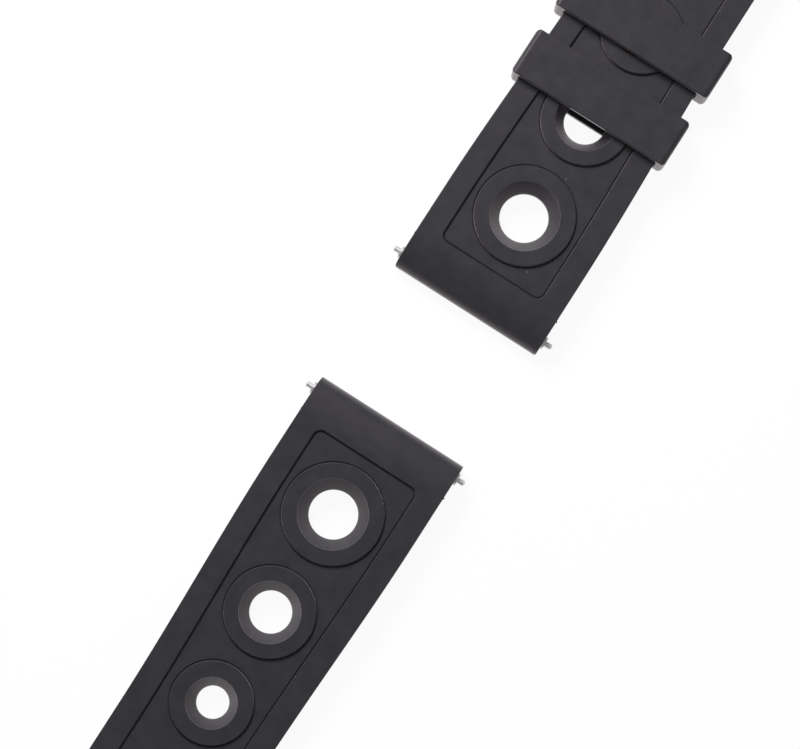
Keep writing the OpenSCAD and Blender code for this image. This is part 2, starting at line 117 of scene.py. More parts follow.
class StrapSizes(bpy.types.PropertyGroup):
    """Sizes of the two moulded halves, each measured from its lug end."""

    lug_width: length("Lug width", "Width of both halves at the watch lugs", 0.022)
    band_width: length("Band width", "Width of both halves past the taper", 0.0202)
    taper_start: length("Taper start", "Where the taper starts", 0.012)
    taper_end: length("Taper end", "Where the taper ends", 0.050)
    tail_length: length("Tail length", "Length of the tail half", 0.120)
    buckle_length: length("Buckle length", "Length of the buckle half, up to the buckle bar", 0.075)
    lug_gap: length("Lug gap", "Gap between the two lug ends as the halves lie", 0.0175)
    tip_length: length("Tip length", "Length of the rounded tip of the tail half", 0.009)
    top: length("Top", "Height of the border's top above the table", 0.004)
    belly: length("Belly", "Height of the band's underside above the table", 0.00125)
    tip_thickness: length("Tip thickness", "Thickness of the tail half at its tip", 0.0023)
    heel_length: length("Heel length", "Length of the thick heel under the lug end", 0.0055)
    heel_radius: length("Heel radius", "Radius of the lower edge of the lug end", 0.0007)
    blend_length: length("Blend length", "Length of the blend between thick and thin, underneath", 0.005)
    barrel_blend: length("Barrel blend", "Length of the blend to the barrel round the buckle bar", 0.006)
    roll_length: length("Roll length", "How far from the lug end the top starts to roll over", 0.0053)
    roll_drop: length("Roll drop", "How much lower the top is where the roll meets the nose", 0.00055)
    nose_radius: length("Nose radius", "Radius of the nose at the lug end", 0.0022)
    edge_radius: length("Edge radius", "Radius of the long edges", 0.00028)
    lug_corner: length("Lug corner", "Radius of the corners of the lug ends, seen from above", 0.0002)
    border: length("Border", "Width of the plain border beside the panel", 0.0031)
    panel_start: length("Panel start", "Where the panel starts", 0.0059)
    panel_corner: length("Panel corner", "Corner radius of the panel", 0.0012)
    panel_depth: length("Panel depth", "Depth of the panel below the border", 0.0003)
    panel_to_slot: length("Panel to slot", "Distance between the buckle half's panel and the tongue's slot", 0.006)
    step_round: length("Step round", "Radius of the panel step's upper edge", 0.00005)
    step_hollow: length("Step hollow", "Radius of the panel step's lower corner", 0.00002)
    ring_proud: length("Ring height", "How far the rings stand above the border", 0.0001)
    tail_rings: lengths("Tail rings", "Distances of the tail half's rings", (0.0145, 0.0296, 0.0435))
    buckle_rings: lengths("Buckle rings", "Distances of the buckle half's rings", (0.0145, 0.0296, 0.0435))
    ring_sizes: lengths("Ring sizes", "Outer diameters of the rings", (0.0136, 0.0122, 0.0111))
    mouth_sizes: lengths("Mouth sizes", "Diameters of the countersinks' mouths", (0.0094, 0.0082, 0.0068))
    bore_sizes: lengths("Bore sizes", "Diameters of the holes", (0.0065, 0.0056, 0.0043))
    mouth_depth: length("Mouth depth", "Depth of the rings' countersinks", 0.0023)
    mouth_lip: length("Mouth lip", "Height of the crisp lip round the countersinks' mouths", 0.00015)
    ring_round: length("Ring round", "Radius of the rings' upper outer edge", 0.00006)
    foot_groove: length("Foot groove", "Depth of the fine groove at the foot of each step", 0.00014)
    hole_count: bpy.props.IntProperty(name="Holes", description="Number of adjusting holes", default=8, min=5, max=8)
    hole_first: length("First hole", "Distance of the first adjusting hole", 0.0565)
    hole_pitch: length("Hole pitch", "Distance between adjusting holes", 0.007)
    hole_size: length("Hole size", "Diameter of the adjusting holes", 0.0032)
    hole_mouth: length("Hole mouth", "Diameter of the adjusting holes' countersinks", 0.0044)
    hole_mouth_depth: length("Hole mouth depth", "Depth of the adjusting holes' countersinks", 0.0007)
    collar_size: length("Collar size", "Diameter of the collars round the adjusting holes", 0.006)
    bar_at: length("Bar distance", "Distance of the lug bar's axis from the lug end", 0.0019)
    bar_bore: length("Bar bore", "Radius of the bores for the bars", 0.001)
    slot_length: length("Slot length", "Length of the tongue's slot, from the buckle bar", 0.008)
    slot_width: length("Slot width", "Width of the tongue's slot", 0.003)
    nib_at: length("Nib distance", "Distance of the small moulding nibs on the edges", 0.005)
    nib_drop: length("Nib drop", "Depth of the nibs below the border's top", 0.0012)
    nib_size: length("Nib size", "Radius of the small moulding nibs", 0.00016)


class KeeperSizes(bpy.types.PropertyGroup):
    """Sizes of the two keepers."""

    wall: length("Wall", "Wall of a keeper", 0.00095)
    side_gap: length("Side gap", "Gap between a keeper and each edge of the strap", 0.00008)
    corner: length("Corner", "Outer corner radius, seen along the strap", 0.0008)
    inner_corner: length("Inner corner", "Inner corner radius, seen along the strap", 0.0003)
    plan_corner: length("Plan corner", "Corner radius, seen from above", 0.0006)
    edge_radius: length("Edge radius", "Radius of the outer edges", 0.0002)
    crown: length("Crown", "How far the middle of the top strand sinks", 0.00004)


class BuckleSizes(bpy.types.PropertyGroup):
    """Edge sizes of the pin buckle."""

    frame_edge: length("Frame edge", "Radius of the frame's edges", 0.00028)
    tongue_edge: length("Tongue edge", "Radius of the tongue's edges", 0.00022)


class Finishes(bpy.types.PropertyGroup):
    """Colours and surfaces of the materials."""

    silicone: colour("Silicone", "Colour of the silicone", (0.0365, 0.0368, 0.0425))
    silicone_roughness: share("Silicone roughness", "Roughness of the silicone", 0.46)
    rim_roughness: share("Rim roughness", "Roughness of the silicone where it is seen at a slant", 0.27)
    bloom: share("Bloom", "Soft sheen of the silicone where it is seen at a slant", 0.45)
    grain_depth: length("Grain depth", "Depth of the silicone's moulded grain", 0.000006)
    grain_size: length("Grain size", "Size of the silicone's moulded grain", 0.00011)
    dust: share("Dust", "Brightness of the dust specks", 0.35)
    steel: colour("Steel", "Colour of the turned steel", (0.88, 0.87, 0.86))
    wire: colour("Wire", "Colour of the spring wire", (0.45, 0.45, 0.46))
    satin: colour("Satin steel", "Colour of the buckle's satin steel", (0.66, 0.65, 0.63))
    table: colour("Table", "Colour of the table", (0.95, 0.95, 0.95))


class StageSettings(bpy.types.PropertyGroup):
    """Camera, lamp, surroundings and table."""

    focal_pixels: share("Focal length", "Focal length in pixels of an 800 pixel wide image", 2600.0, 1.0, 20000.0)
    camera_x: coordinate("Camera X", "Camera's place across the strap", 0.01242)
    camera_y: coordinate("Camera Y", "Camera's place along the strap", -0.01312)
    camera_z: coordinate("Camera Z", "Camera's height above the table", 0.34237)
    tilt: bpy.props.FloatVectorProperty(
        name="Tilt", description="Camera's turn about X, Y and Z", size=3, subtype="EULER", unit="ROTATION",
        default=(math.radians(5.1756), math.radians(-0.3292), math.radians(32.6861))
    )
    key: share("Key", "Power of the key lamp in watts", 1.0, 0.0, 100.0)
    key_size: lengths("Key size", "Width and depth of the key lamp", (0.2, 0.15))
    key_aim: coordinate("Key aim", "Where along the strap the key lamp points", 0.02)
    key_distance: length("Key distance", "How far the key lamp stands from where it points, seen from above", 0.25)
    key_height: length("Key height", "Height of the key lamp above the table", 0.22)
    key_turn: bpy.props.FloatProperty(
        name="Key turn", description="Turn of the key lamp from the picture's top", default=math.radians(22.0),
        subtype="ANGLE", unit="ROTATION"
    )
    fill: share("Fill", "Strength of the white surroundings", 0.25, 0.0, 2.0)
    glint: share("Glint", "Strength of the surroundings as the gloss shows them", 0.25, 0.0, 2.0)
    glow: share("Glow", "Strength of the table's own light", 1.035, 0.0, 2.0)
    shadow: share("Shadow", "How much of the table's shadow shows", 0.1)
    table_radius: length("Table radius", "Radius of the table", 4.0)


# ---------------------------------------------------------------- materials


def new_material(name):
    """A node material, its tree and its main shader."""
    material = bpy.data.materials.new(name)
    material.use_nodes = True
    return material, material.node_tree, material.node_tree.nodes["Principled BSDF"]


def set_inputs(node, values):
    """Sets a node's inputs, or links them where a value is a socket."""
    for key, value in values.items():
        if isinstance(value, bpy.types.NodeSocket):
            node.id_data.links.new(value, node.inputs[key])
        else:
            node.inputs[key].default_value = value


def add_node(tree, kind, values, **settings):
    """A node with its settings, and with its inputs set or linked."""
    node = tree.nodes.new(kind)
    for key, value in settings.items():
        setattr(node, key, value)
    set_inputs(node, values)
    return node


def ramp(tree, source, stops):
    """A colour ramp over a value, from places and grey levels or colours."""
    node = add_node(tree, "ShaderNodeValToRGB", {"Fac": source})
    elements = node.color_ramp.elements
    while len(elements) < len(stops):
        elements.new(0.5)
    for element, (place, level) in zip(elements, stops):
        element.position = place
        element.color = (*level, 1.0) if isinstance(level, tuple) else (level, level, level, 1.0)
    return node.outputs["Color"]


def mix_colour(tree, factor, a, b):
    """A mix of two colours, each a socket or a value."""
    return add_node(tree, "ShaderNodeMix", {0: factor, 6: a, 7: b}, data_type="RGBA").outputs[2]


def combine(tree, operation, a, b):
    """The sum or the product of two values, each a socket or a number."""
    return add_node(tree, "ShaderNodeMath", {0: a, 1: b}, operation=operation).outputs["Value"]


def object_place(tree):
    """The object's own coordinates, in metres."""
    return add_node(tree, "ShaderNodeTexCoord", {}).outputs["Object"]


def object_noise(tree, scale, detail, roughness, stretch=(1.0, 1.0, 1.0)):
    """Noise on the object's own coordinates, with a scale in cells a metre."""
    mapping = add_node(tree, "ShaderNodeMapping", {"Vector": object_place(tree), "Scale": stretch})
    return add_node(
        tree, "ShaderNodeTexNoise",
        {"Vector": mapping.outputs["Vector"], "Scale": scale, "Detail": detail, "Roughness": roughness},
    ).outputs["Fac"]


def bump(tree, height, distance, below=None):
    """A bump from a height, over another one if there is one."""
    values = {"Height": height, "Distance": distance, "Strength": 1.0}
    if below is not None:
        values["Normal"] = below
    return add_node(tree, "ShaderNodeBump", values).outputs["Normal"]


def shade(base, *factors):
    """A colour made lighter or darker, by one factor or by one for each channel."""
    if len(factors) == 1:
        factors *= 3
    return tuple(min(channel * factor, 1.0) for channel, factor in zip(base, factors))


def silicone_material(finishes):
    """Black moulded silicone: a fine grain, faint mottling, a few specks of dust, and a soft sheen at a slant."""
    material, tree, shader = new_material("moulded_silicone")
    dark, light = shade(finishes.silicone, 0.86, 0.87, 0.88), shade(finishes.silicone, 1.16, 1.15, 1.13)
    mottle = ramp(tree, object_noise(tree, 420.0, 4.0, 0.6), ((0.32, 0.0), (0.68, 1.0)))
    body = mix_colour(tree, mottle, (*dark, 1.0), (*light, 1.0))

    cells = add_node(tree, "ShaderNodeTexVoronoi", {"Vector": object_place(tree), "Scale": 460.0, "Randomness": 1.0})
    speck = ramp(tree, cells.outputs["Distance"], ((0.0, 1.0), (0.035, 1.0), (0.06, 0.0)))
    drawn = add_node(tree, "ShaderNodeSeparateColor", {"Color": cells.outputs["Color"]}).outputs["Red"]
    few = ramp(tree, drawn, ((0.0, 0.0), (0.86, 0.0), (0.9, 1.0)))
    dusty = combine(tree, "MULTIPLY", combine(tree, "MULTIPLY", speck, few), finishes.dust)

    level = finishes.silicone_roughness
    rough = ramp(tree, object_noise(tree, 900.0, 3.0, 0.55), ((0.3, level - 0.05), (0.7, level + 0.06)))
    slant = add_node(tree, "ShaderNodeLayerWeight", {"Blend": 0.5}).outputs["Facing"]
    slanted = ramp(tree, slant, ((0.1, 0.0), (0.7, 1.0)))
    sleek = (finishes.rim_roughness,) * 3 + (1.0,)

    swell = bump(tree, object_noise(tree, 160.0, 2.0, 0.5), 0.00001)
    grain = object_noise(tree, 1.0 / finishes.grain_size, 3.0, 0.6)
    set_inputs(shader, {
        "Base Color": mix_colour(tree, dusty, body, (0.42, 0.4, 0.38, 1.0)),
        "Roughness": mix_colour(tree, slanted, rough, sleek),
        "Normal": bump(tree, grain, finishes.grain_depth, swell),
        "IOR": 1.43,
        "Specular IOR Level": 0.42,
        "Specular Tint": (1.0, 0.86, 0.93, 1.0),
        "Sheen Weight": finishes.bloom,
        "Sheen Roughness": 0.4,
        "Sheen Tint": (1.0, 0.82, 0.9, 1.0),
    })
    return material


def steel_material(name, base, marks, shades, rough, depth, clouds=None):
    """Bare steel with fine marks, a noise that shows in its colour, its gloss and its surface.
    A second noise, clouds, may wear the gloss."""
    material, tree, shader = new_material(name)
    lines = object_noise(tree, *marks)
    worn = combine(tree, "ADD", lines, object_noise(tree, *clouds)) if clouds else lines
    set_inputs(shader, {
        "Base Color": ramp(tree, lines, [(place, shade(base, factor)) for place, factor in shades]),
        "Roughness": ramp(tree, worn, rough),
        "Metallic": 1.0,
        "Normal": bump(tree, lines, depth),
    })
    return material


def turned_steel_material(finishes):
    """Stainless steel turned on a lathe: fine rings round the bar's axis."""
    return steel_material(
        "turned_steel", finishes.steel, marks=(900.0, 3.0, 0.6, (18.0, 1.0, 1.0)),
        shades=((0.3, 0.86), (0.7, 1.08)), rough=((0.3, 0.4), (0.7, 0.5)), depth=0.000004
    )


def spring_wire_material(finishes):
    """Drawn spring wire, a little darker than the bars."""
    return steel_material(
        "spring_wire", finishes.wire, marks=(5000.0, 2.0, 0.5),
        shades=((0.3, 0.8), (0.7, 1.1)), rough=((0.3, 0.28), (0.7, 0.4)), depth=0.000003
    )


def satin_steel_material(finishes):
    """Satin stainless steel, brushed across the buckle, with soft wear on the surface."""
    return steel_material(
        "satin_steel", finishes.satin, marks=(700.0, 4.0, 0.65, (1.0, 26.0, 26.0)), clouds=(260.0, 3.0, 0.55),
        shades=((0.25, 0.84), (0.75, 1.08)), rough=((0.7, 0.24), (1.3, 0.42)), depth=0.000006
    )


def table_material(finishes, settings):
    """White light table that glows evenly and keeps a faint shadow."""
    material, tree, shader = new_material("table")
    grain = object_noise(tree, 300.0, 3.0, 0.6)
    set_inputs(shader, {
        "Base Color": ramp(tree, grain, ((0.3, shade(finishes.table, 0.985)), (0.7, shade(finishes.table, 1.0)))),
        "Roughness": 0.6,
        "Specular IOR Level": 0.2,
    })
    glow = add_node(tree, "ShaderNodeEmission", {"Color": WHITE, "Strength": settings.glow})
    blend = add_node(
        tree, "ShaderNodeMixShader", {0: settings.shadow, 1: glow.outputs["Emission"], 2: shader.outputs["BSDF"]}
    )
    set_inputs(tree.nodes["Material Output"], {"Surface": blend.outputs["Shader"]})
    return material


def material_for(kind):
    """The material of that name, made the first time it is asked for."""
    made = bpy.data.materials.get(kind)
    if made:
        return made
    makers = {
        "moulded_silicone": silicone_material,
        "turned_steel": turned_steel_material,
        "spring_wire": spring_wire_material,
        "satin_steel": satin_steel_material,
    }
    return makers[kind](bpy.context.scene.strap_finishes)


# ---------------------------------------------------------------- mesh helpers


def round_corner(bm, corner, reach, segments):
    """Rounds a corner of an outline or of a line of edges. reach is measured along its edges."""
    if reach > 0.0:
        bmesh.ops.bevel(
            bm, geom=[corner], offset=reach, offset_type="OFFSET", segments=segments, profile=0.5,
            affect="VERTICES", material=-1
        )


def outline(bm, corners, plane):
    """Adds a face from a few corners, each (a, b, reach, segments). plane turns (a, b) into a point."""
    verts = [bm.verts.new(plane(a, b)) for a, b, _, _ in corners]
    bm.faces.new(verts)
    for vert, (_, _, reach, segments) in zip(verts, corners):
        round_corner(bm, vert, reach, segments)


def extrude(bm, faces, by):
    """Extrudes flat faces into a closed solid."""
    made = bmesh.ops.extrude_face_region(bm, geom=faces)
    moved = [item for item in made["geom"] if isinstance(item, bmesh.types.BMVert)]
    bmesh.ops.translate(bm, verts=moved, vec=by)
    bmesh.ops.recalc_face_normals(bm, faces=bm.faces[:])


def cut(bm, direction, places, chosen=None):
    """Cuts the faces that chosen picks, or all, with planes square to a direction at the given places."""
    for place in places:
        faces = [face for face in bm.faces if chosen is None or chosen(face)]
        edges = {edge for face in faces for edge in face.edges}
        verts = {vert for face in faces for vert in face.verts}
        bmesh.ops.bisect_plane(
            bm, geom=[*verts, *edges, *faces], dist=SAME_POINT, plane_co=direction * place, plane_no=direction
        )


def take_away(bm, faces):
    """Removes faces and keeps the edges round them. Returns the edges that are left open."""
    rim = {}
    for face in faces:
        for edge in face.edges:
            rim[edge] = rim.get(edge, 0) + 1
    open_edges = [edge for edge, uses in rim.items() if uses == 1]
    inside = [edge for edge, uses in rim.items() if uses > 1]
    bmesh.ops.delete(bm, geom=faces, context="FACES_ONLY")
    bmesh.ops.delete(bm, geom=inside, context="EDGES")
    return open_edges


def fill(bm, edges, normal):
    """Fills a flat region between closed loops of edges."""
    bmesh.ops.triangle_fill(bm, use_beauty=True, use_dissolve=False, edges=edges, normal=normal)


def turned_ring(bm, y, profile, segments, floor):
    """Spins a profile of (radius, height, reach, segments) round the upright axis at y.
    Returns the upper and the lower open loop. floor gives the underside's height at a distance."""
    known_verts, known_edges = set(bm.verts), set(bm.edges)
    verts = [bm.verts.new((radius, y, height)) for radius, height, _, _ in profile]
    for a, b in zip(verts, verts[1:]):
        bm.edges.new((a, b))
    for vert, (_, _, reach, parts) in zip(verts, profile):
        round_corner(bm, vert, reach, parts)
    line = [vert for vert in bm.verts if vert not in known_verts]
    edges = {edge for vert in line for edge in vert.link_edges}
    bmesh.ops.spin(
        bm, geom=[*line, *edges], cent=ALONG * y, axis=UP, angle=2.0 * math.pi, steps=segments,
        use_merge=True, use_duplicate=False
    )
    low = floor(y)
    ring_edges = [edge for edge in bm.edges if edge not in known_edges]
    for vert in {vert for edge in ring_edges for vert in edge.verts}:
        if vert.co.z < low + UNDER_RIM:
            vert.co.z += floor(vert.co.y) - low
    open_edges = [edge for edge in ring_edges if len(edge.link_faces) == 1]
    middle = (low + profile[0][1]) / 2
    upper = [edge for edge in open_edges if edge.verts[0].co.z > middle]
    lower = [edge for edge in open_edges if edge.verts[0].co.z <= middle]
    return upper, lower


def sink(bm, face, sizes):
    """Steps a flat face down, with a rounded edge, a hollow corner and a fine groove at its foot.
    Returns the outer and the inner loop."""
    outer = face.edges[:]
    brow, hollow, groove = sizes.step_round, sizes.step_hollow, sizes.foot_groove
    steps = 4
    turns = [(math.pi / 2 * i / steps, math.pi / 2 * (i + 1) / steps) for i in range(steps)]
    moves = [
        *((brow * (math.sin(b) - math.sin(a)), brow * (math.cos(a) - math.cos(b))) for a, b in turns),
        (brow * 0.15, sizes.panel_depth + groove - brow - hollow),  # the wall, with a little draft
        *((hollow * (math.cos(a) - math.cos(b)), hollow * (math.sin(b) - math.sin(a))) for a, b in turns),
        (0.00007, groove * 0.2),  # the groove's floor
        (0.0001, groove * -0.6),  # and its slope up to the panel
        (0.0001, groove * -0.6),
    ]
    for inwards, down in moves:
        bmesh.ops.inset_individual(bm, faces=[face], thickness=inwards, depth=-down, use_even_offset=True)
    inner = face.edges[:]
    bmesh.ops.delete(bm, geom=[face], context="FACES_ONLY")
    return outer, inner


def bore_across(bm, y, z, radius, walls):
    """Opens the flat side walls at the places in walls and joins them in pairs with bores."""
    loops = []
    for x in walls:
        faces = [
            face for face in bm.faces
            if abs(abs(face.normal.x) - 1.0) < 1e-5
            and abs(face.calc_center_median().x - x) < AT_PLACE
            and min(vert.co.y for vert in face.verts) < y < max(vert.co.y for vert in face.verts)
        ]
        rim = take_away(bm, faces)
        made = bmesh.ops.create_circle(
            bm, cap_ends=False, radius=radius, segments=BORE_SEGMENTS,
            matrix=Matrix.Translation((x, y, z)) @ Matrix.Rotation(math.radians(90.0), 4, "Y")
        )
        loop = list({edge for vert in made["verts"] for edge in vert.link_edges})
        fill(bm, rim + loop, ACROSS)
        loops.append(loop)
    for a, b in zip(loops[::2], loops[1::2]):
        bmesh.ops.bridge_loops(bm, edges=a + b)


def bevel_sharp(bm, offset, least_degrees=50.0):
    """Rounds every edge that is sharper than an angle."""
    least = math.radians(least_degrees)
    edges = [edge for edge in bm.edges if len(edge.link_faces) == 2 and edge.calc_face_angle() > least]
    bmesh.ops.bevel(
        bm, geom=edges, offset=offset, offset_type="OFFSET", segments=EDGE_SEGMENTS, profile=0.5, affect="EDGES",
        clamp_overlap=True, material=-1
    )


def even_normals(bm):
    """A normal for each face corner, led by the largest flat regions that meet there."""
    bm.faces.index_update()
    region, areas = [None] * len(bm.faces), []
    for first in bm.faces:
        if region[first.index] is not None:
            continue
        region[first.index] = len(areas)
        areas.append(0.0)
        waiting = [first]
        while waiting:
            face = waiting.pop()
            areas[-1] += face.calc_area()
            for other in (f for edge in face.edges for f in edge.link_faces):
                if region[other.index] is None and face.normal.dot(other.normal) > SAME_PLANE:
                    region[other.index] = region[face.index]
                    waiting.append(other)
    least = math.cos(math.radians(SHARP_DEGREES))
    normals = []
    for face in bm.faces:
        for vert in face.verts:
            near = {region[f.index]: f.normal for f in vert.link_faces if f.normal.dot(face.normal) > least}
            total = sum((normal * areas[index] for index, normal in near.items()), Vector())
            normals.append(total.normalized())
    return normals


def add_object(name, data):
    """An object in the scene."""
    made = bpy.data.objects.new(name, data)
    bpy.context.scene.collection.objects.link(made)
    return made


def finished_object(bm, name, material):
    """Turns a bmesh into a smooth-shaded object whose flat faces stay flat."""
    bmesh.ops.remove_doubles(bm, verts=bm.verts[:], dist=SAME_POINT)
    bmesh.ops.recalc_face_normals(bm, faces=bm.faces[:])
    for face in bm.faces:
        face.smooth = True
    normals = even_normals(bm)
    mesh = bpy.data.meshes.new(name)
    bm.to_mesh(mesh)
    bm.free()
    mesh.normals_split_custom_set(normals)
    mesh.materials.append(material)
    return add_object(name, mesh)


# ---------------------------------------------------------------- strap halves


def ease(t):
    """Smooth step from 0 to 1."""
    t = min(max(t, 0.0), 1.0)
    return t * t * (3.0 - 2.0 * t)


def band_half_width(sizes, y):
    """Half of the strap's width at a distance from the lug end."""
    taper = (y - sizes.taper_start) / (sizes.taper_end - sizes.taper_start)
    return (sizes.lug_width - (sizes.lug_width - sizes.band_width) * ease(taper)) / 2


def tip_half_width(sizes, y, inset):
    """Half of the tail half's width, taken in by inset, with its rounded tip."""
    start = sizes.tail_length - sizes.tip_length
    if y <= start:
        return band_half_width(sizes, y) - inset
    along = min((y - start) / (sizes.tip_length - inset), 1.0)
    return (sizes.band_width / 2 - inset) * math.sqrt(1.0 - along * along)


def taper_stations(sizes):
    """Distances at which the tapering edges bend."""
    taper = sizes.taper_end - sizes.taper_start
    return [sizes.taper_start + taper * i / TAPER_STEPS for i in range(TAPER_STEPS + 1)]


def s_blend(span, rise):
    """How far the corners of a smooth rise lie from its ends."""
    return (span * span + rise * rise) / (4.0 * span)


def lug_corners(sizes):
    """Side view of the lug end, from the top's roll round the nose and the heel to the band's underside."""
    nose_y = sizes.nose_radius
    roll_y = (sizes.roll_length + nose_y) / 2
    slope = sizes.roll_drop / (roll_y - nose_y)
    nose_z = sizes.top - slope * roll_y
    reach = s_blend(sizes.blend_length, sizes.belly)
    lean = math.atan(slope)
    return [
        (roll_y, sizes.top, (roll_y - nose_y) * SNUG, 10),
        (0.0, nose_z, nose_y * math.tan((math.pi / 2 - lean) / 2), 10),
        (0.0, 0.0, sizes.heel_radius, 6),
        (sizes.heel_length + reach, 0.0, reach * SNUG, 8),
        (sizes.heel_length + sizes.blend_length - reach, sizes.belly, reach * SNUG, 8),
    ]


def prism(corners, sizes):
    """The side view as a solid across the strap, as wide as the lug end."""
    bm = bmesh.new()
    outline(bm, corners, lambda y, z: (-sizes.lug_width / 2, y, z))
    extrude(bm, bm.faces[:], ACROSS * sizes.lug_width)
    return bm


def round_lug_corners(bm, sizes):
    """Rounds the corners of the lug end, seen from above."""
    radius = sizes.lug_corner
    cut(bm, ALONG, [radius * (1.0 - math.cos(math.radians(a))) for a in range(15, 91, 15)])
    for vert in bm.verts:
        away = max(radius - vert.co.y, 0.0)
        vert.co.x -= math.copysign(radius - math.sqrt(max(radius * radius - away * away, 0.0)), vert.co.x)


def panel_face(bm, sizes, end, half_width, stations, end_corners):
    """The panel's outline as one flat face at the border's height, with round corners at its start and,
    where end_corners is true, at its end. half_width gives half of its width at a distance."""
    start = sizes.panel_start
    half = half_width(start)
    known = set(bm.faces)
    corners = ((-half, start), (half, start), (half, end), (-half, end))
    bm.faces.new([bm.verts.new((x, y, sizes.top)) for x, y in corners])
    cut(bm, ALONG, stations, lambda face: face not in known)
    parts = [face for face in bm.faces if face not in known]
    for vert in {vert for face in parts for vert in face.verts}:
        vert.co.x = math.copysign(half_width(vert.co.y), vert.co.x)
    panel = bmesh.ops.dissolve_faces(bm, faces=parts, use_verts=False)["region"][0]
    ends = (start, end) if end_corners else (start,)
    for vert in [vert for vert in panel.verts if any(abs(vert.co.y - y) < AT_PLACE for y in ends)]:
        round_corner(bm, vert, sizes.panel_corner, 6)
    panel = next(face for face in bm.faces if face not in known)
    if panel.normal.z < 0.0:
        panel.normal_flip()
    return panel


def flat_faces(bm, direction, low, high, above):
    """Faces that point up or down, between two distances and above a height."""
    return [
        face for face in bm.faces
        if face.normal.z * direction > 0.9999
        and low < face.calc_center_median().y < high
        and face.calc_center_median().z > above
    ]


def ring_profile(sizes, radius, mouth, bore, depth, floor_z):
    """Section of a ring with its countersunk hole, from the panel over the ring to the underside."""
    panel = sizes.top - sizes.panel_depth
    groove = panel - sizes.foot_groove
    crest = sizes.top + sizes.ring_proud
    lip = crest - sizes.mouth_lip
    funnel = mouth - bore
    return [
        (radius + 0.00025, panel, 0.0, 0),  # on the panel
        (radius + 0.00014, panel, 0.00006, 2),  # the fine groove's outer edge
        (radius + 0.00002, groove, 0.00005, 2),  # and its floor
        (radius - 0.00006, groove, 0.00005, 2),
        (radius - 0.00011, crest, sizes.ring_round, 5),  # the ring's outer edge
        (mouth, crest, 0.00005, 3),  # the countersink's mouth
        (mouth - 0.00003, lip, 0.00004, 2),  # the foot of its crisp lip
        (mouth - funnel * 0.5, lip - (depth - sizes.mouth_lip) * 0.475, funnel * 0.35, 4),  # its slight curve
        (bore, crest - depth, 0.00016, 3),  # where the hole starts
        (bore, floor_z, 0.00012, 3),  # the hole's lower edge
        (bore + UNDER_RIM, floor_z, 0.0, 0),  # on the underside
    ]


def dress_half(bm, sizes, panel, distances, holes, high, floor):
    """Puts the sunk panel, the rings at their distances and the holes into the top and underside of a half,
    which are flat up to high. floor gives the underside's height at a distance."""
    panel_outer, panel_inner = sink(bm, panel, sizes)
    low = sizes.roll_length * 0.98  # just before the top gets flat
    top_rim = take_away(bm, flat_faces(bm, 1.0, low, high, sizes.top - 1e-5))
    under_rim = take_away(bm, flat_faces(bm, -1.0, sizes.heel_length + sizes.blend_length, high, sizes.belly * 0.4))
    fill(bm, top_rim + panel_outer, UP)
    rings = [
        (*row, sizes.mouth_depth, RING_SEGMENTS)
        for row in zip(distances, sizes.ring_sizes, sizes.mouth_sizes, sizes.bore_sizes)
    ]
    uppers, lowers = [], []
    for y, ring, mouth, bore, depth, segments in [*rings, *holes]:
        profile = ring_profile(sizes, ring / 2, mouth / 2, bore / 2, depth, floor(y))
        upper, lower = turned_ring(bm, y, profile, segments, floor)
        uppers += upper
        lowers += lower
    fill(bm, panel_inner + uppers, UP)
    fill(bm, under_rim + lowers, -UP)
    add_nibs(bm, sizes)


def add_nibs(bm, sizes):
    """Small rests of the moulding's flash on both edges, partly sunk and drawn out sideways."""
    for side in (-1, 1):
        x = side * (band_half_width(sizes, sizes.nib_at) - sizes.nib_size * 0.35)
        place = Matrix.Translation((x, sizes.nib_at, sizes.top - sizes.nib_drop))
        bmesh.ops.create_icosphere(
            bm, subdivisions=2, radius=sizes.nib_size, matrix=place @ Matrix.Diagonal((1.3, 1.0, 1.0, 1.0))
        )


def open_slot(bm, half, start, turn_end):
    """Opens the tongue's slot, from its round start through the barrel, and gives it walls."""
    cut(bm, ACROSS, (-half, half), lambda face: face.calc_center_median().y > start)
    ahead = [face for face in bm.faces if face.calc_center_median().y > start]
    inside = [face for face in ahead if abs(face.calc_center_median().x) < half]
    bmesh.ops.delete(bm, geom=inside, context="FACES")
    for vert in bm.verts:
        if abs(abs(vert.co.x) - half) < AT_PLACE and start - AT_PLACE < vert.co.y < turn_end:
            away = turn_end - vert.co.y
            vert.co.x = math.copysign(math.sqrt(max(half * half - away * away, 0.0)), vert.co.x)
    bmesh.ops.remove_doubles(bm, verts=bm.verts[:], dist=LOOSE_POINT)
    open_edges = [edge for edge in bm.edges if len(edge.link_faces) == 1]
    curved = [edge for edge in open_edges if sum(vert.co.y for vert in edge.verts) / 2 < turn_end]
    bmesh.ops.bridge_loops(bm, edges=curved)
    open_edges = [edge for edge in bm.edges if len(edge.link_faces) == 1]
    for side in (-1, 1):
        wall = [edge for edge in open_edges if edge.is_valid and edge.verts[0].co.x * side > 0.0]
        bmesh.ops.contextual_create(bm, geom=wall)
    bmesh.ops.recalc_face_normals(bm, faces=bm.faces[:])


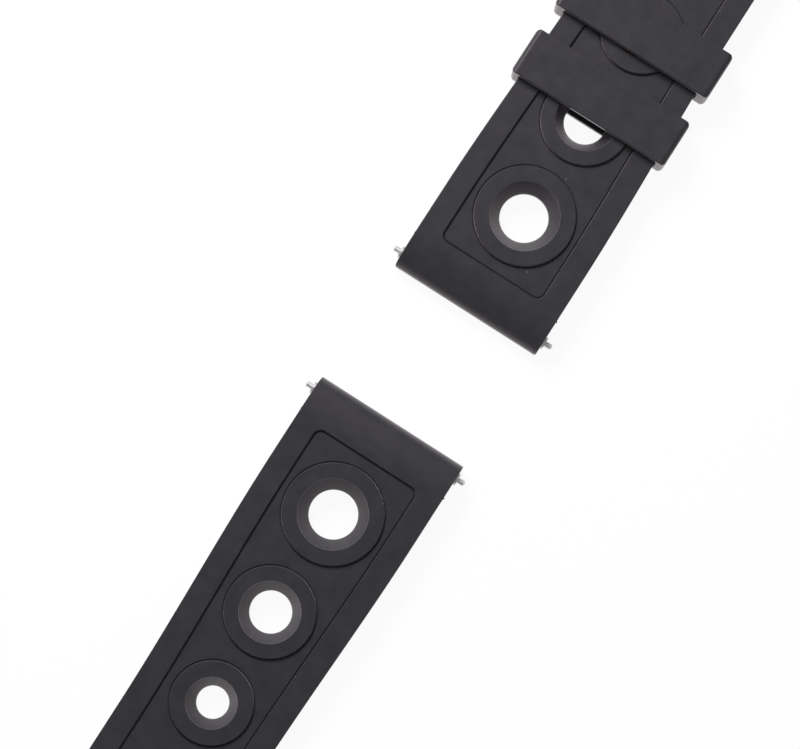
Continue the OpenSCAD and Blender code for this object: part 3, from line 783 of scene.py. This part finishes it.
def buckle_half(sizes):
    """The half that carries the buckle, lug end at y = 0."""
    end = sizes.buckle_length
    barrel = sizes.top / 2
    barrel_reach = barrel * 0.998  # leaves the two quarter turns just apart
    reach = s_blend(sizes.barrel_blend, sizes.belly)
    blend_end = end - barrel / 2
    bm = prism(lug_corners(sizes) + [
        (blend_end - sizes.barrel_blend + reach, sizes.belly, reach * SNUG, 8),
        (blend_end - reach, 0.0, reach * SNUG, 8),
        (end + barrel, 0.0, barrel_reach, 12),
        (end + barrel, sizes.top, barrel_reach, 12),
    ], sizes)
    slot_half = sizes.slot_width / 2
    slot_start = end - sizes.slot_length
    turn_end = slot_start + slot_half
    turns = [turn_end - slot_half * math.cos(math.radians(a)) for a in range(0, 91, 15)]
    panel_end = slot_start - sizes.panel_to_slot
    plain_from = panel_end + 0.002  # from here on the top is left as it is
    cut(bm, ALONG, taper_stations(sizes) + [plain_from] + turns)
    for vert in bm.verts:
        vert.co.x *= band_half_width(sizes, vert.co.y) * 2 / sizes.lug_width
    open_slot(bm, slot_half, slot_start, turn_end)
    bevel_sharp(bm, sizes.edge_radius)
    round_lug_corners(bm, sizes)
    lug_half, half = sizes.lug_width / 2, sizes.band_width / 2
    bore_across(bm, sizes.bar_at, barrel, sizes.bar_bore, (-lug_half, lug_half))
    bore_across(bm, end, barrel, sizes.bar_bore, (-half, -slot_half, slot_half, half))

    panel = panel_face(
        bm, sizes, panel_end, lambda y: band_half_width(sizes, y) - sizes.border, taper_stations(sizes), True
    )
    dress_half(bm, sizes, panel, sizes.buckle_rings, [], plain_from, lambda y: sizes.belly)
    return bm


def tail_half(sizes):
    """The half with the adjusting holes, lug end at y = 0."""
    start = sizes.tail_length - sizes.tip_length
    angles = [math.radians(TIP_DEGREES) * i / TIP_STEPS for i in range(TIP_STEPS + 1)]
    tip = [start + sizes.tip_length * math.sin(a) for a in angles]
    panel_tip = [start + (sizes.tip_length - sizes.border) * math.sin(a) for a in angles]
    end = tip.pop()
    panel_end = panel_tip.pop()
    under_end = sizes.top - sizes.tip_thickness
    bm = prism(lug_corners(sizes) + [(end, under_end, 0.0, 0), (end, sizes.top, 0.0, 0)], sizes)
    cut(bm, ALONG, taper_stations(sizes) + tip)
    for vert in bm.verts:
        vert.co.x *= tip_half_width(sizes, vert.co.y, 0.0) * 2 / sizes.lug_width
    bevel_sharp(bm, sizes.edge_radius)
    round_lug_corners(bm, sizes)
    lug_half = sizes.lug_width / 2
    bore_across(bm, sizes.bar_at, sizes.top / 2, sizes.bar_bore, (-lug_half, lug_half))

    panel = panel_face(
        bm, sizes, panel_end, lambda y: tip_half_width(sizes, y, sizes.border), taper_stations(sizes) + panel_tip,
        False
    )
    holes = [
        (sizes.hole_first + i * sizes.hole_pitch, sizes.collar_size, sizes.hole_mouth, sizes.hole_size,
         sizes.hole_mouth_depth, HOLE_SEGMENTS)
        for i in range(sizes.hole_count)
    ]
    blend_end = sizes.heel_length + sizes.blend_length
    slope = (under_end - sizes.belly) / (end - (blend_end - s_blend(sizes.blend_length, sizes.belly)))
    dress_half(
        bm, sizes, panel, sizes.tail_rings, holes, sizes.tail_length, lambda y: under_end - slope * (end - y)
    )
    return bm


def tail_place(sizes):
    """Where the tail half lies: turned round, and leaning from its heel to its tip."""
    lean = math.atan((sizes.top - sizes.tip_thickness) / (sizes.tail_length - sizes.heel_length))
    return (
        Matrix.Translation((0.0, buckle_lug_y - sizes.lug_gap, 0.0))
        @ Matrix.Rotation(math.pi, 4, "Z")
        @ Matrix.Translation((0.0, sizes.heel_length, 0.0))
        @ Matrix.Rotation(-lean, 4, "X")
        @ Matrix.Translation((0.0, -sizes.heel_length, 0.0))
    )


# ---------------------------------------------------------------- keepers and buckle


def even_places(span, parts):
    """Places that divide a span about 0 into an even number of parts."""
    return [span * i / parts for i in range(1 - parts // 2, parts // 2)]


def keeper(sizes, low, high, inner_half):
    """A loop with round corners, soft edges and a slightly hollow top strand."""
    width, depth, height = high - low
    bm = bmesh.new()
    loops = []
    for a, b, radius in (
        (width / 2, height / 2, sizes.corner), (inner_half, height / 2 - sizes.wall, sizes.inner_corner)
    ):
        known = set(bm.edges)
        corners = [(x, z, radius, 10) for x, z in ((-a, -b), (a, -b), (a, b), (-a, b))]
        outline(bm, corners, lambda x, z: (x, -depth / 2, z))
        bmesh.ops.delete(bm, geom=bm.faces[:], context="FACES_ONLY")
        loops += [edge for edge in bm.edges if edge not in known]
    bmesh.ops.bridge_loops(bm, edges=loops)
    across = [edge for edge in bm.edges if edge not in set(loops)]
    bmesh.ops.subdivide_edges(bm, edges=across, cuts=5, use_grid_fill=True)
    extrude(bm, bm.faces[:], ALONG * depth)
    bevel_sharp(bm, sizes.edge_radius, 70.0)
    cut(bm, ACROSS, even_places(width, 40))
    cut(bm, ALONG, even_places(depth, 12))
    start = width / 2 - sizes.plan_corner
    for vert in bm.verts:
        past = abs(vert.co.x) - start
        if past > 0.0:
            back = sizes.plan_corner - math.sqrt(max(sizes.plan_corner ** 2 - past ** 2, 0.0))
            vert.co.y *= (depth / 2 - back) / (depth / 2)
        if vert.co.z > 0.0:
            hollow = 1.0 - (2.0 * vert.co.x / width) ** 2
            vert.co.z -= sizes.crown * hollow * vert.co.z / (height / 2)
    bmesh.ops.translate(bm, verts=bm.verts[:], vec=(low + high) / 2)
    return bm


def softened_copy(node, edge_radius):
    """A copy of a steel piece with its edges rounded."""
    bm = bmesh.new()
    bm.from_mesh(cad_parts[node].data)
    bmesh.ops.remove_doubles(bm, verts=bm.verts[:], dist=LOOSE_POINT)
    bmesh.ops.dissolve_limit(
        bm, angle_limit=math.radians(0.6), verts=bm.verts[:], edges=bm.edges[:], use_dissolve_boundaries=False
    )
    bevel_sharp(bm, edge_radius, 32.0)
    return bm


def dress(piece, body, node):
    """Lets a piece ride on its body and stand for its node."""
    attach(piece, body)
    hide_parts(node)


# ---------------------------------------------------------------- stage


def add_table(scene, settings):
    """A round table under the strap."""
    bm = bmesh.new()
    bmesh.ops.create_circle(bm, cap_ends=True, radius=settings.table_radius, segments=96)
    mesh = bpy.data.meshes.new("table")
    bm.to_mesh(mesh)
    bm.free()
    mesh.materials.append(table_material(scene.strap_finishes, settings))
    add_object("table", mesh)


def add_surroundings(scene, settings):
    """White surroundings, plain white to the camera and weaker as a light."""
    scene.world = bpy.data.worlds.new("surroundings")
    scene.world.use_nodes = True
    tree = scene.world.node_tree
    rays = add_node(tree, "ShaderNodeLightPath", {}).outputs
    lit = add_node(
        tree, "ShaderNodeMapRange",
        {"Value": rays["Is Glossy Ray"], "To Min": settings.fill, "To Max": settings.glint}
    )
    strength = add_node(
        tree, "ShaderNodeMapRange", {"Value": rays["Is Camera Ray"], "To Min": lit.outputs["Result"], "To Max": 1.0}
    )
    set_inputs(tree.nodes["Background"], {"Color": WHITE, "Strength": strength.outputs["Result"]})


def add_key_lamp(settings):
    """A rectangular lamp past the picture's top, pointing down at the strap."""
    data = bpy.data.lights.new("key", "AREA")
    data.shape = "RECTANGLE"
    data.size, data.size_y = settings.key_size
    data.energy = settings.key
    lamp = add_object("key", data)
    away = Matrix.Rotation(settings.tilt[2] + settings.key_turn, 3, "Z") @ ALONG
    aim = ALONG * settings.key_aim
    lamp.location = aim + away * settings.key_distance + UP * settings.key_height
    lamp.rotation_euler = (aim - lamp.location).to_track_quat("-Z", "Y").to_euler()


def add_camera(scene, settings):
    """The camera at the photograph's place."""
    data = bpy.data.cameras.new("camera")
    data.sensor_fit = "HORIZONTAL"
    data.sensor_width = SENSOR_WIDTH
    data.lens = settings.focal_pixels / PHOTO_WIDTH * SENSOR_WIDTH
    data.clip_start = 0.01
    camera = add_object("camera", data)
    camera.location = (settings.camera_x, settings.camera_y, settings.camera_z)
    camera.rotation_euler = settings.tilt
    scene.camera = camera


# ---------------------------------------------------------------- operators


class STRAP_OT_stage(bpy.types.Operator):
    """Add the table, the surroundings, the key lamp and the camera"""

    bl_idname = "strap.stage"
    bl_label = "Stage"

    def execute(self, context):
        scene = context.scene
        scene.view_settings.view_transform = "Standard"
        add_table(scene, scene.strap_stage)
        add_surroundings(scene, scene.strap_stage)
        add_key_lamp(scene.strap_stage)
        add_camera(scene, scene.strap_stage)
        return {"FINISHED"}


class STRAP_OT_halves(bpy.types.Operator):
    """Add the two moulded silicone halves"""

    bl_idname = "strap.halves"
    bl_label = "Strap Halves"

    def execute(self, context):
        sizes = context.scene.strap_sizes
        for body, make, place in (
            ("buckle_half", buckle_half, Matrix.Translation(ALONG * buckle_lug_y)),
            ("tail_half", tail_half, tail_place(sizes)),
        ):
            bm = make(sizes)
            bm.transform(place)
            piece = finished_object(bm, body + "_band", material_for("moulded_silicone"))
            dress(piece, body, "strap_" + body)
        return {"FINISHED"}


class STRAP_OT_keepers(bpy.types.Operator):
    """Add the two loop keepers"""

    bl_idname = "strap.keepers"
    bl_label = "Keepers"

    def execute(self, context):
        sizes = context.scene.keeper_sizes
        for name, (low, high) in keeper_box.items():
            band_half = band_half_width(context.scene.strap_sizes, low.y - buckle_lug_y)
            bm = keeper(sizes, low, high, band_half + sizes.side_gap)
            piece = finished_object(bm, name + "_loop", material_for("moulded_silicone"))
            dress(piece, name, name)
        return {"FINISHED"}


class STRAP_OT_bars(bpy.types.Operator):
    """Finish the three sprung bars"""

    bl_idname = "strap.bars"
    bl_label = "Sprung Bars"

    def execute(self, context):
        for name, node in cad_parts.items():
            if "_bar_" in name:
                kind = "spring_wire" if name.endswith("_spring") else "turned_steel"
                node.data.materials.clear()
                node.data.materials.append(material_for(kind))
        return {"FINISHED"}


class STRAP_OT_buckle(bpy.types.Operator):
    """Add the pin buckle's frame and tongue"""

    bl_idname = "strap.buckle"
    bl_label = "Pin Buckle"

    def execute(self, context):
        sizes = context.scene.buckle_sizes
        for node, edge in (("buckle_frame", sizes.frame_edge), ("buckle_tongue", sizes.tongue_edge)):
            piece = finished_object(softened_copy(node, edge), node + "_steel", material_for("satin_steel"))
            dress(piece, node, node)
        return {"FINISHED"}


class STRAP_PT_sidebar(bpy.types.Panel):
    """Lists the strap's pieces and sizes"""

    bl_idname = "STRAP_PT_sidebar"
    bl_label = "Watch Strap"
    bl_space_type = "VIEW_3D"
    bl_region_type = "UI"
    bl_category = "Strap"

    def draw(self, context):
        column = self.layout.column()
        for operator in OPERATORS:
            column.operator(operator.bl_idname)
        for name, group in GROUPS.items():
            column.separator()
            settings = getattr(context.scene, name)
            for key in group.__annotations__:
                column.prop(settings, key)


GROUPS = {
    "strap_sizes": StrapSizes,
    "keeper_sizes": KeeperSizes,
    "buckle_sizes": BuckleSizes,
    "strap_finishes": Finishes,
    "strap_stage": StageSettings,
}
OPERATORS = (STRAP_OT_stage, STRAP_OT_halves, STRAP_OT_keepers, STRAP_OT_bars, STRAP_OT_buckle)


def register():
    for cls in (*GROUPS.values(), *OPERATORS, STRAP_PT_sidebar):
        bpy.utils.register_class(cls)
    for name, group in GROUPS.items():
        setattr(bpy.types.Scene, name, bpy.props.PointerProperty(type=group))


def unregister():
    for name in GROUPS:
        delattr(bpy.types.Scene, name)
    for cls in reversed((*GROUPS.values(), *OPERATORS, STRAP_PT_sidebar)):
        bpy.utils.unregister_class(cls)


def main():
    register()
    bpy.ops.strap.stage()
    bpy.ops.strap.halves()
    bpy.ops.strap.keepers()
    bpy.ops.strap.bars()
    bpy.ops.strap.buckle()
    bpy.context.view_layer.update()


if __name__ == "__main__":
    main()
